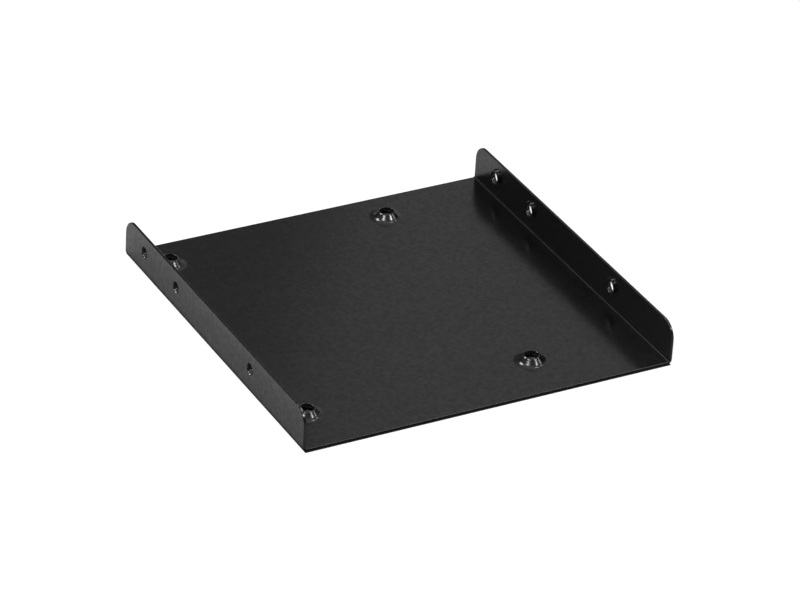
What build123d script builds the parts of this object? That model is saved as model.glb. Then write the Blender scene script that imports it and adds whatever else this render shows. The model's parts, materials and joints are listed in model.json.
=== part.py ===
from build123d import *
import math
import os

# Adapter bracket, folded from one steel sheet and painted. A 2.5-inch drive is screwed to four raised
# bosses in the floor, from below, and the two flanges are screwed into a 3.5-inch drive bay.
# The origin is the middle of the underside, with +X across the bay, +Y to the rear and +Z up.

# Sheet
sheet = 0.7                    # thickness, with its paint
fold_inside = 0.5              # radius inside both folds
edge_break = 0.12              # sheared edges, broken all round

# Outline
width = 101.6                  # over both flanges, as wide as a 3.5-inch drive
length = 100.3                 # from front edge to rear edge
flange_height = 11.0           # from the underside to the top of a flange
flange_corner = 4.5            # radius of the upper corners of a flange

# Bosses under the drive
drive_pitch_x = 61.72          # bottom screws of a 2.5-inch drive, across
drive_pitch_y = 76.6           # and lengthwise
boss_side_inset = 7.85         # from the left flange's outer face to the nearer row of bosses
boss_rear_inset = 9.8          # from the rear edge to the rear pair of bosses
boss_height = 1.89             # from the floor to the level at which a boss turns over
boss_crown = 3.98              # across a boss where its wall would meet that level
boss_hole = 3.6                # screw hole through a boss, across
boss_hole_edge = 0.08          # broken edge of the hole
boss_slope = 50.0              # degrees between the wall of a boss and the floor
boss_shoulder = 0.9            # outside bend where the wall turns over at the hole
boss_foot_round = 1.8          # inside bend where the wall leaves the floor

# Threaded collars in the flanges, for 6-32 screws
bay_hole_height = 6.35         # from the underside to the axis
bay_rear_inset = 11.2          # from the rear edge to the rear hole
bay_middle_pitch = 18.38       # from the rear hole to the middle one
bay_front_pitch = 59.99        # from the rear hole to the front one
thread_hole = 3.2              # across the flanks of the thread
collar_wall = 0.62
collar_reach = 0.65            # how far a collar stands in from the flange's inner face
collar_mouth = 0.08            # broken edge of the hole in the outer face
collar_foot = 0.1              # slope where a collar leaves the flange
collar_lip_inside = 0.1        # broken inner edge of the collar's end
collar_lip_outside = 0.08      # and its outer edge

ring_margin = 0.3              # flat sheet kept round a formed ring, where it joins the plain sheet


def worked(face, corners, operation):
    # Rounds or breaks the corner of a flat face that lies nearest to each given point.
    for point, size in corners:
        corner = face.vertices().sort_by_distance(point)[0]
        face = operation(corner, size)
    return face


def folded_sheet():
    # A square-cornered U is folded round the floor, and its flanges are trimmed to their side outline.
    outer = Rectangle(width, flange_height, align=(Align.CENTER, Align.MIN))
    outer = fillet(outer.vertices().group_by(Axis.Y)[0], fold_inside + sheet)
    inner = Rectangle(width - 2 * sheet, flange_height, align=(Align.CENTER, Align.MIN))
    inner = Pos(0, sheet) * fillet(inner.vertices().group_by(Axis.Y)[0], fold_inside)
    section = Plane.XZ * (outer - inner)
    folded = extrude(section, length / 2, both=True)

    side = Rectangle(length, flange_height, align=(Align.CENTER, Align.MIN))
    side = fillet(side.vertices().group_by(Axis.Y)[-1], flange_corner)
    trimmed = folded & extrude(Plane.YZ * side, width, both=True)
    return break_sheared_edges(trimmed)


def break_sheared_edges(solid):
    # The sheared rim is every face that spans the thickness; its short edges join one rim face to the next.
    ends = solid.faces().filter_by(Axis.Y)
    tops = solid.faces().filter_by(Axis.Z).group_by(Axis.Z)[-1]
    corners = solid.faces().filter_by(GeomType.CYLINDER).filter_by(lambda face: abs(face.radius - flange_corner) < 1e-6)
    rim = ends + tops + corners
    long_edges = rim.edges().filter_by(lambda edge: edge.length > 1.5 * sheet)
    return chamfer(long_edges, edge_break)


def boss_ring():
    # The sheet rises as a cone of even thickness that turns over at the top, where it is pierced. Below, the
    # cone is a recess for a countersunk head. The section is turned about +Z, with the underside at 0.
    slope = math.radians(boss_slope)
    hole = boss_hole / 2
    top = sheet + boss_height
    crown = boss_crown / 2
    foot = crown + boss_height / math.tan(slope)
    recess = foot + sheet / math.tan(slope) - sheet / math.sin(slope)
    inner_crown = crown - sheet * math.tan(slope / 2)
    rim = foot + boss_foot_round * math.tan(slope / 2) + ring_margin
    section = make_face(Polyline(
        (rim, 0), (recess, 0), (inner_crown, top - sheet), (0, top - sheet), (0, top), (crown, top),
        (foot, sheet), (rim, sheet), close=True))
    section = worked(section, [
        ((recess, 0), boss_foot_round + sheet),
        ((foot, sheet), boss_foot_round),
        ((crown, top), boss_shoulder),
    ], fillet)
    section -= Rectangle(2 * hole, 4 * top)
    brim = section.vertices().filter_by(lambda corner: abs(corner.X - hole) < 1e-6).sort_by(Axis.Y)[-1]
    section = chamfer(brim, boss_hole_edge)
    return revolve(Plane.XZ * section, Axis.Z), rim


def collar_ring():
    # The sheet is drawn inwards round the hole into a short tube. The section is turned about +Z, with the
    # outer face of the flange at 0.
    hole = thread_hole / 2
    wall = hole + collar_wall
    reach = sheet + collar_reach
    rim = wall + collar_foot + ring_margin
    section = make_face(Polyline(
        (rim, 0), (hole, 0), (hole, reach), (wall, reach), (wall, sheet), (rim, sheet), close=True))
    section = worked(section, [
        ((hole, 0), collar_mouth),
        ((hole, reach), collar_lip_inside),
        ((wall, reach), collar_lip_outside),
        ((wall, sheet), collar_foot),
    ], chamfer)
    return revolve(Plane.XZ * section, Axis.Z), rim


def formed(solid, ring, rim, places):
    # Sets a formed ring into the plain sheet at each place, whose z axis starts at the face it was formed from.
    disc = Cylinder(rim, 3 * sheet)
    for place in places:
        solid = solid - place * disc + place * ring
    return solid


def boss_places():
    rear = length / 2 - boss_rear_inset
    near_row = -width / 2 + boss_side_inset
    return [Pos(x, y, 0) for x in (near_row, near_row + drive_pitch_x) for y in (rear - drive_pitch_y, rear)]


def collar_places():
    rear = length / 2 - bay_rear_inset
    holes_y = (rear - bay_front_pitch, rear - bay_middle_pitch, rear)
    left = [Plane((-width / 2, y, bay_hole_height), z_dir=(1, 0, 0)) for y in holes_y]
    right = [Plane((width / 2, y, bay_hole_height), z_dir=(-1, 0, 0)) for y in holes_y]
    return [Location(plane) for plane in left + right]


bracket = folded_sheet()
bracket = formed(bracket, *boss_ring(), boss_places())
bracket = formed(bracket, *collar_ring(), collar_places())

os.makedirs("parts", exist_ok=True)
export_step(bracket, "parts/bracket.step")
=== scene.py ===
import json
import math

import bpy
import numpy as np
from mathutils import Matrix, Vector


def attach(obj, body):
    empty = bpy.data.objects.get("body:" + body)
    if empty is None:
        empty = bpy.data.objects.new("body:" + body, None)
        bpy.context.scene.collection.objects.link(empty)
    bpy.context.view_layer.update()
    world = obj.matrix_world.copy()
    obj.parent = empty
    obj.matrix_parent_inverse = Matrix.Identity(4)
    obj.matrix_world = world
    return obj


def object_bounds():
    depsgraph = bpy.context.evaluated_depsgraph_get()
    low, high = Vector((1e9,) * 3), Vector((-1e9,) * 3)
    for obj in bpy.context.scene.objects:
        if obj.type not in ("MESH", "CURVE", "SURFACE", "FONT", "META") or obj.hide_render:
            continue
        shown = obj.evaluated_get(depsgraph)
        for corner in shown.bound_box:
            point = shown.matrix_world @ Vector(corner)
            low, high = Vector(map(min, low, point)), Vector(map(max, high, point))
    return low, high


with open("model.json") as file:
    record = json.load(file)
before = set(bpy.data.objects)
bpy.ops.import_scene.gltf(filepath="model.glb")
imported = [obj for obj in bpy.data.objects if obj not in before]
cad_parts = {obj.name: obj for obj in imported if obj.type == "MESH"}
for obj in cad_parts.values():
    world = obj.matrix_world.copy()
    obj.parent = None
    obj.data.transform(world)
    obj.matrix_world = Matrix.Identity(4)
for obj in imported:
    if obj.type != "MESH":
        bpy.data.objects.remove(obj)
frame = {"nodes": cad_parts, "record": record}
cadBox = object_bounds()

scene = bpy.context.scene
bracket = frame["nodes"]["bracket"]
print("frame loaded: one folded sheet")


# Shader helpers

noiseSpread = (0.3, 0.7)  # noise keeps to about this middle part of 0 to 1


def feed(tree, socket, value):
    # A socket is linked, and anything else is set as the input's own value.
    if isinstance(value, bpy.types.NodeSocket):
        tree.links.new(value, socket)
    else:
        socket.default_value = value


def addNode(tree, kind, place, **inputs):
    # Inputs are given by socket name, with _ for a space.
    node = tree.nodes.new(kind)
    node.location = place
    for name, value in inputs.items():
        feed(tree, node.inputs[name.replace("_", " ")], value)
    return node


def addMaths(tree, operation, place, first, second):
    node = addNode(tree, "ShaderNodeMath", place)
    node.operation = operation
    for socket, value in zip(node.inputs, (first, second)):
        feed(tree, socket, value)
    return node.outputs["Value"]


def addNoise(tree, place, where, scale, detail):
    noise = addNode(tree, "ShaderNodeTexNoise", place, Vector=where, Scale=scale, Detail=detail)
    return noise.outputs["Fac"]


def addRange(tree, place, value, low, high, spread=noiseSpread):
    # Values within the spread run from low to high, and those past it are held at its ends.
    node = addNode(
        tree, "ShaderNodeMapRange", place, Value=value,
        From_Min=spread[0], From_Max=spread[1], To_Min=low, To_Max=high,
    )
    return node.outputs["Result"]


def emptyMaterial(name):
    material = bpy.data.materials.new(name)
    material.use_nodes = True
    material.node_tree.nodes.clear()
    return material


# Baked-on paint: an orange peel, a finer grit in it, and slow clouding over the sheet

grainDetail = {"Peel": 1.0, "Grit": 2.0, "Cloud": 3.0}  # octaves of noise in each layer


def makePaintGrain(detail):
    group = bpy.data.node_groups.new("paintGrain", "ShaderNodeTree")
    group.interface.new_socket("Vector", in_out="INPUT", socket_type="NodeSocketVector")
    for name in ("Peel Scale", "Grit Scale", "Cloud Scale", "Grit Share"):
        group.interface.new_socket(name, in_out="INPUT", socket_type="NodeSocketFloat")
    for name in ("Height", "Peel", "Grit", "Cloud"):
        group.interface.new_socket(name, in_out="OUTPUT", socket_type="NodeSocketFloat")
    given = addNode(group, "NodeGroupInput", (-700, 0))
    made = addNode(group, "NodeGroupOutput", (300, 0))
    layers = {}
    for row, (name, octaves) in enumerate(detail.items()):
        scale = given.outputs[name + " Scale"]
        layers[name] = addNoise(group, (-450, 250 - 250 * row), given.outputs["Vector"], scale, octaves)
    share = addMaths(group, "MULTIPLY", (-200, 0), layers["Grit"], given.outputs["Grit Share"])
    layers["Height"] = addMaths(group, "ADD", (0, 150), layers["Peel"], share)
    for name, value in layers.items():
        group.links.new(value, made.inputs[name])
    return group


coatFinish = {
    "darkColour": (0.0026, 0.0026, 0.0027, 1.0),
    "paleColour": (0.0042, 0.0042, 0.0044, 1.0),
    "shine": 0.385,
    "peelGlaze": (0.0, 0.31),  # weight of a thin clear coat over the crests of the peel
    "glazeRoughness": 0.2,
    "gritRoughness": (0.17, 0.23),
    "cloudRoughness": (-0.02, 0.02),  # added
    "ior": 1.5,
    "peelScale": 900.0,        # about 1.1 mm from crest to crest
    "gritScale": 2600.0,
    "cloudScale": 40.0,
    "gritShare": 0.45,         # of the grit in the relief, beside the peel
    "peelDepth": 4.0e-6,
    "edgeRound": 0.10e-3,      # paint rounds every edge it flows over
    "edgeSamples": 8,
    "shearedDepth": 0.25e-3,   # the paint is thin, dull and unglazed on the sheared front and rear ends
    "shearedRoughness": 0.27,  # added there
}

# The tap leaves the paint dull and broken in the threads.
dullThread = {"gritRoughness": (0.40, 0.52), "shine": 0.22, "peelGlaze": (0.0, 0.08)}


def makeCoat(name, look, grainGroup):
    material = emptyMaterial(name)
    tree = material.node_tree
    where = addNode(tree, "ShaderNodeTexCoord", (-1100, 0)).outputs["Object"]
    grain = addNode(tree, "ShaderNodeGroup", (-900, 0))
    grain.node_tree = grainGroup
    for socketName, value in (
        ("Vector", where), ("Peel Scale", look["peelScale"]), ("Grit Scale", look["gritScale"]),
        ("Cloud Scale", look["cloudScale"]), ("Grit Share", look["gritShare"]),
    ):
        feed(tree, grain.inputs[socketName], value)
    paleness = addRange(tree, (-600, 200), grain.outputs["Grit"], 0.0, 1.0)
    colour = addNode(tree, "ShaderNodeMix", (-300, 250))
    colour.data_type = "RGBA"
    for socketName, value in (("Factor", paleness), ("A", look["darkColour"]), ("B", look["paleColour"])):
        feed(tree, colour.inputs[socketName], value)

    along = addNode(tree, "ShaderNodeSeparateXYZ", (-900, 500), Vector=where).outputs["Y"]
    fromMiddle = addMaths(tree, "ABSOLUTE", (-750, 500), along, 0.0)
    sheared = addMaths(tree, "GREATER_THAN", (-600, 500), fromMiddle, cadBox[1].y - look["shearedDepth"])
    unsheared = addMaths(tree, "SUBTRACT", (-300, 500), 1.0, sheared)
    overPeel = addRange(tree, (-600, 750), grain.outputs["Peel"], *look["peelGlaze"])
    glaze = addMaths(tree, "MULTIPLY", (-150, 600), overPeel, unsheared)

    gritty = addRange(tree, (-600, -50), grain.outputs["Grit"], *look["gritRoughness"])
    cloudy = addRange(tree, (-600, -300), grain.outputs["Cloud"], *look["cloudRoughness"])
    dull = addMaths(tree, "MULTIPLY", (-450, 350), sheared, look["shearedRoughness"])
    rough = addMaths(tree, "ADD", (-300, 0), gritty, cloudy)
    rough = addMaths(tree, "ADD", (-150, 0), rough, dull)

    edge = addNode(tree, "ShaderNodeBevel", (-600, -550), Radius=look["edgeRound"])
    edge.samples = look["edgeSamples"]
    bump = addNode(
        tree, "ShaderNodeBump", (-300, -350), Strength=1.0, Distance=look["peelDepth"],
        Height=grain.outputs["Height"], Normal=edge.outputs["Normal"],
    )
    shader = addNode(
        tree, "ShaderNodeBsdfPrincipled", (0, 0), Base_Color=colour.outputs["Result"],
        Roughness=rough, IOR=look["ior"], Normal=bump.outputs["Normal"],
        Specular_IOR_Level=look["shine"], Coat_Weight=glaze, Coat_Roughness=look["glazeRoughness"],
    )
    addNode(tree, "ShaderNodeOutputMaterial", (300, 0), Surface=shader.outputs["BSDF"])
    return material


paintGrain = makePaintGrain(grainDetail)
sheetCoat = makeCoat("sheetCoat", coatFinish, paintGrain)
threadCoat = makeCoat("threadCoat", coatFinish | dullThread, paintGrain)
for slot in bracket.material_slots:
    slot.material = sheetCoat
print("sheet coated")


# Turned pieces in the collars

sharpAngle = 50.0  # degrees between faces, past which their edge isn't shaded smooth


def turnedGrid(radius, height, angle):
    # Each point is (radius cos angle, radius sin angle, height), with one row for each angle.
    return np.stack([radius * np.cos(angle), radius * np.sin(angle), height + 0.0 * angle], axis=2)


def closedGridMesh(name, grid):
    # The grid closes on itself both ways, so every point is the corner of four quads.
    rows, columns = grid.shape[:2]
    index = np.arange(rows * columns).reshape(rows, columns)
    nextRow, nextColumn = np.roll(index, -1, axis=0), np.roll(index, -1, axis=1)
    both = np.roll(nextRow, -1, axis=1)
    quads = np.stack([index, nextColumn, both, nextRow], axis=2).reshape(-1, 4)
    mesh = bpy.data.meshes.new(name)
    mesh.from_pydata(grid.reshape(-1, 3).tolist(), [], quads.tolist())
    mesh.shade_smooth()
    mesh.set_sharp_from_angle(angle=math.radians(sharpAngle))
    return mesh


def setPiece(name, grid, axis, place, material):
    # The grid's own z axis is turned to the given axis, and its origin is moved to the place.
    turned = np.array(axis.to_track_quat("Z", "Y").to_matrix())
    piece = bpy.data.objects.new(name, closedGridMesh(name, grid @ turned.T + np.array(place)))
    scene.collection.objects.link(piece)
    piece.data.materials.append(material)
    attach(piece, "root")


# Threads cut in the collars

threadCut = {
    "pitch": 0.794e-3,        # 32 turns to the inch
    "crestRadius": 1.46e-3,
    "crestShare": 0.34,       # flat crest as a share of the pitch
    "sink": 0.03e-3,          # how far the roots and the ends lie inside the collar's wall
    "leadIn": 0.28e-3,        # length of the smooth cone at each end, before the thread starts
    "runIn": 0.14e-3,         # over which the thread then reaches its full depth
    "stepsRound": 96,
    "stepsAlong": 44,
}


def threadGrid(wallRadius, length, cut):
    # Radius at (turn, depth) is a triangle wave of depth/pitch - turn, 60 degrees at the flanks, between
    # the crest and the wall. It fades out towards a smooth cone that opens to the wall at each end.
    turn = np.linspace(0.0, 1.0, cut["stepsRound"], endpoint=False)[:, None]
    depth = np.linspace(-length / 2, length / 2, cut["stepsAlong"])[None, :]
    root = wallRadius + cut["sink"]
    fullDepth = root - cut["crestRadius"]
    phase = np.abs((depth / cut["pitch"] - turn) % 1.0 - 0.5)
    fromCrest = np.maximum(phase - cut["crestShare"] / 2, 0.0) * cut["pitch"]
    wave = np.minimum(fromCrest * math.sqrt(3.0), fullDepth)
    toEnd = length / 2 - np.abs(depth)
    fade = np.clip((toEnd - cut["leadIn"]) / cut["runIn"], 0.0, 1.0)
    cone = root - fullDepth * np.clip(toEnd / cut["leadIn"], 0.0, 1.0)
    radius = np.maximum(cut["crestRadius"] + wave * fade, cone)
    backing = np.full_like(turn, root + cut["sink"])
    radius = np.hstack([radius, backing, backing])
    height = np.hstack([depth, depth[:, -1:], depth[:, :1]])
    return turnedGrid(radius, height, 2 * math.pi * turn)


def cutThread(mount, cut):
    wallRadius = mount["dims"]["r_mm"] / 1000
    length = mount["dims"]["length_mm"] / 1000
    name = mount["name"].replace("bay_screw", "thread")
    outward = Vector(mount["axis"])
    setPiece(name, threadGrid(wallRadius, length, cut), outward, mount["pos_m"], threadCoat)


# Smooth mouth that the punch left in the outer face, as a cone down to the thread's crests

collarMouth = {
    "radius": 1.66e-3,
    "depth": 0.36e-3,
    "innerRadius": 1.45e-3,
    "sink": 0.05e-3,          # how far the hidden faces lie inside the sheet
    "stepsRound": 96,
}


def mouthGrid(shape):
    # The profile runs straight from the outer face, at height 0, to the inner radius, and closes behind
    # within the collar's wall. It is turned once round.
    radius, depth, sink = shape["radius"], shape["depth"], shape["sink"]
    profileRadius = np.array([radius, shape["innerRadius"], radius, radius + sink])
    profileHeight = np.array([0.0, depth, depth, sink])
    angle = np.linspace(0.0, 2 * math.pi, shape["stepsRound"], endpoint=False)[:, None]
    return turnedGrid(profileRadius, profileHeight, angle)


def setMouth(mount, shape):
    name = mount["name"].replace("bay_screw", "mouth")
    inward = -Vector(mount["axis"])
    outerFace = math.copysign(cadBox[1].x, mount["axis"][0])
    setPiece(name, mouthGrid(shape), inward, (outerFace, *mount["pos_m"][1:]), sheetCoat)


for mount in frame["record"]["mounts"]:
    if mount["kind"] == "threaded_hole":
        cutThread(mount, threadCut)
        setMouth(mount, collarMouth)
print("threads cut and mouths set")


# Camera, from the bracket's own frame

cameraFit = {
    "azimuth": 29.590,       # degrees round from the front, towards the left flange
    "elevation": 30.875,
    "roll": 3.474,
    "distance": 1.08829,
    "aside": 1.375e-3,       # the view's centre from the bracket's origin, in the picture plane
    "above": 2.019e-3,
    "focalPixels": 4357.9,
    "pictureWidth": 800,
    "sensor": 36.0,
    "clip": (0.05, 30.0),
}


def placeCamera(fit):
    turn, lift, roll = (math.radians(fit[key]) for key in ("azimuth", "elevation", "roll"))
    back = Vector((-math.sin(turn) * math.cos(lift), -math.cos(turn) * math.cos(lift), math.sin(lift)))
    level = Vector((math.cos(turn), -math.sin(turn), 0.0))
    upright = back.cross(level)
    right = math.cos(roll) * level + math.sin(roll) * upright
    up = math.cos(roll) * upright - math.sin(roll) * level
    camera = bpy.data.objects.new("camera", bpy.data.cameras.new("camera"))
    scene.collection.objects.link(camera)
    camera.data.sensor_width = fit["sensor"]
    camera.data.lens = fit["focalPixels"] / fit["pictureWidth"] * fit["sensor"]
    camera.data.clip_start, camera.data.clip_end = fit["clip"]
    place = back * fit["distance"] + right * fit["aside"] + up * fit["above"]
    camera.matrix_world = Matrix.Translation(place) @ Matrix((right, up, back)).transposed().to_4x4()
    scene.camera = camera


placeCamera(cameraFit)
print("camera placed")


# Lamps, each facing the origin from its own direction

lamps = {
    "leftLamp": {"towards": (-0.53, -0.27, 0.80), "distance": 1.0, "size": (0.32, 0.18), "watts": 4.2},
    "leftRearLamp": {"towards": (-0.49, 0.47, 0.735), "distance": 1.0, "size": (0.28, 0.28), "watts": 6.0},
    "frontLamp": {"towards": (0.41, -0.61, 0.69), "distance": 1.0, "size": (0.15, 0.16), "watts": 3.3},
    "lowRightLamp": {"towards": (0.826, -0.335, 0.455), "distance": 1.0, "size": (0.12, 0.2), "watts": 0.8},
    "rightLamp": {"towards": (0.70, -0.065, 0.71), "distance": 1.0, "size": (0.18, 0.15), "watts": 0.6},
    "overheadLamp": {"towards": (0.38, -0.05, 0.92), "distance": 1.0, "size": (0.3, 0.15), "watts": 0.95},
    "backCard": {"towards": (0.750, 0.511, 0.42), "distance": 0.5, "size": (0.48, 0.5), "watts": 0.205},
}


def hangLamp(name, look):
    light = bpy.data.lights.new(name, "AREA")
    light.shape = "RECTANGLE"
    light.size, light.size_y = look["size"]
    light.energy = look["watts"]
    lamp = bpy.data.objects.new(name, light)
    scene.collection.objects.link(lamp)
    towards = Vector(look["towards"]).normalized()
    lamp.location = towards * look["distance"]
    lamp.rotation_euler = towards.to_track_quat("Z", "Y").to_euler()


for name, look in lamps.items():
    hangLamp(name, look)
print("lamps hung")


# Pale paper floor, with a painted contact shadow along the bracket and painted shade under it, and white
# surround

studio = {
    "floorSize": 6.0,
    "floorDrop": 0.02e-3,
    "paperGrey": 0.47,
    "shadowShare": 0.28,      # how much of its own light and shade the camera sees on the paper
    "paperWhite": 0.88,       # and what lifts it to white there
    "paintedShadowLine": (-0.4e-3, 0.45e-3),  # how far the painted contact shadow reaches past the sides and the ends
    "paintedShadowShare": 0.05,     # of the paper's grey, in the painted contact shadow; the camera's lift starts beyond it
    "paintedShadowReach": 1.8e-3,   # over which the painted shadow fades from the contact to the paper's full grey
    "paintedShadeUnderShare": 0.4,      # of the paper's grey, as painted shade further in under the bracket
    "fillStrength": 0.15,
    "sideFill": 1.0,          # added level with the floor on the right, and falling to nothing overhead
    "horizonGloss": 0.10,
    "ceilingGloss": 1.1,      # added straight overhead
    "ceilingPower": 4.0,      # of the height, with which it falls
}


def makePaper(look):
    # fromEdge is the distance outside the painted shadow's line, and is negative under the bracket. The
    # diffuse grey below carries a painted contact shadow and painted shade under the bracket, not the
    # paper's own colour.
    grey = look["paperGrey"]
    material = emptyMaterial("paper")
    tree = material.node_tree
    where = addNode(tree, "ShaderNodeTexCoord", (-1500, 0)).outputs["Object"]
    split = addNode(tree, "ShaderNodeSeparateXYZ", (-1300, 0), Vector=where)
    beyond = []
    for row, (axis, reach, line) in enumerate(zip("XY", cadBox[1][:2], look["paintedShadowLine"])):
        fromMiddle = addMaths(tree, "ABSOLUTE", (-1100, -200 * row), split.outputs[axis], 0.0)
        beyond.append(addMaths(tree, "SUBTRACT", (-950, -200 * row), fromMiddle, reach + line))
    fromEdge = addMaths(tree, "MAXIMUM", (-800, 0), *beyond)
    paintedShadowRange = (0.0, look["paintedShadowReach"])
    # Painted contact shadow: the paper's grey falls to a small share at the bracket's edges and rises back
    # to full over a short reach.
    paintedShadowRamp = addRange(tree, (-600, 300), fromEdge, look["paintedShadowShare"] * grey, grey, paintedShadowRange)
    # Painted shade under the bracket: further in, the paper's grey is held at a lower share.
    farUnder = addMaths(tree, "LESS_THAN", (-600, 0), fromEdge, -look["paintedShadowReach"])
    paintedShadeUnder = addMaths(tree, "MULTIPLY", (-450, 0), farUnder, look["paintedShadeUnderShare"] * grey)
    paintedShadeGrey = addMaths(tree, "MAXIMUM", (-300, 150), paintedShadowRamp, paintedShadeUnder)
    paper = addNode(tree, "ShaderNodeBsdfDiffuse", (-150, 150), Color=paintedShadeGrey)

    shadeColour = 3 * (look["shadowShare"] * grey,) + (1.0,)
    shade = addNode(tree, "ShaderNodeBsdfDiffuse", (-450, -250), Color=shadeColour)
    white = addNode(tree, "ShaderNodeEmission", (-450, -400), Strength=look["paperWhite"])
    lifted = addNode(tree, "ShaderNodeAddShader", (-150, -250))
    tree.links.new(shade.outputs["BSDF"], lifted.inputs[0])
    tree.links.new(white.outputs["Emission"], lifted.inputs[1])

    rays = addNode(tree, "ShaderNodeLightPath", (-450, 700))
    uncovered = addMaths(tree, "GREATER_THAN", (-300, 400), fromEdge, 0.0)
    liftSeen = addMaths(tree, "MULTIPLY", (-150, 400), rays.outputs["Is Camera Ray"], uncovered)
    mix = addNode(tree, "ShaderNodeMixShader", (100, 0), Fac=liftSeen)
    tree.links.new(paper.outputs["BSDF"], mix.inputs[1])
    tree.links.new(lifted.outputs["Shader"], mix.inputs[2])
    addNode(tree, "ShaderNodeOutputMaterial", (300, 0), Surface=mix.outputs["Shader"])
    return material


def layFloor(look):
    half = look["floorSize"] / 2
    height = cadBox[0].z - look["floorDrop"]
    corners = [(x * half, y * half, height) for x, y in ((-1, -1), (1, -1), (1, 1), (-1, 1))]
    mesh = bpy.data.meshes.new("floor")
    mesh.from_pydata(corners, [], [(0, 1, 2, 3)])
    mesh.materials.append(makePaper(look))
    floor = bpy.data.objects.new("floor", mesh)
    scene.collection.objects.link(floor)


def makeSurround(look):
    # White to the camera. Gloss sees a dim horizon under a brighter ceiling, and diffuse light is an even
    # fill with more of it from the right.
    world = bpy.data.worlds.new("surround")
    scene.world = world
    world.use_nodes = True
    tree = world.node_tree
    tree.nodes.clear()
    rays = addNode(tree, "ShaderNodeLightPath", (-900, 500))
    where = addNode(tree, "ShaderNodeTexCoord", (-1500, -100)).outputs["Object"]
    split = addNode(tree, "ShaderNodeSeparateXYZ", (-1300, -100), Vector=where)

    height = addMaths(tree, "MAXIMUM", (-1100, -300), split.outputs["Z"], 0.0)
    rising = addMaths(tree, "POWER", (-900, -300), height, look["ceilingPower"])
    ceiling = addMaths(tree, "MULTIPLY", (-700, -300), rising, look["ceilingGloss"])
    overFill = addMaths(tree, "ADD", (-500, -300), ceiling, look["horizonGloss"] - look["fillStrength"])
    gloss = addMaths(
        tree, "MAXIMUM", (-500, 0), rays.outputs["Is Glossy Ray"], rays.outputs["Is Transmission Ray"],
    )
    shine = addMaths(tree, "MULTIPLY", (-300, -300), gloss, overFill)

    fromRight = addMaths(tree, "MAXIMUM", (-1100, 200), split.outputs["X"], 0.0)
    side = addMaths(tree, "MULTIPLY", (-700, 200), fromRight, look["sideFill"])
    diffuse = addMaths(tree, "MULTIPLY", (-500, 200), side, rays.outputs["Is Diffuse Ray"])
    fill = addMaths(tree, "ADD", (-300, 200), diffuse, look["fillStrength"])

    lit = addMaths(tree, "ADD", (-100, 0), shine, fill)
    strength = addMaths(tree, "MAXIMUM", (100, 0), lit, rays.outputs["Is Camera Ray"])
    surround = addNode(tree, "ShaderNodeBackground", (300, 0), Color=(1, 1, 1, 1), Strength=strength)
    addNode(tree, "ShaderNodeOutputWorld", (500, 0), Surface=surround.outputs["Background"])


layFloor(studio)
makeSurround(studio)
scene.view_settings.view_transform = "Standard"
print("floor and surround ready")
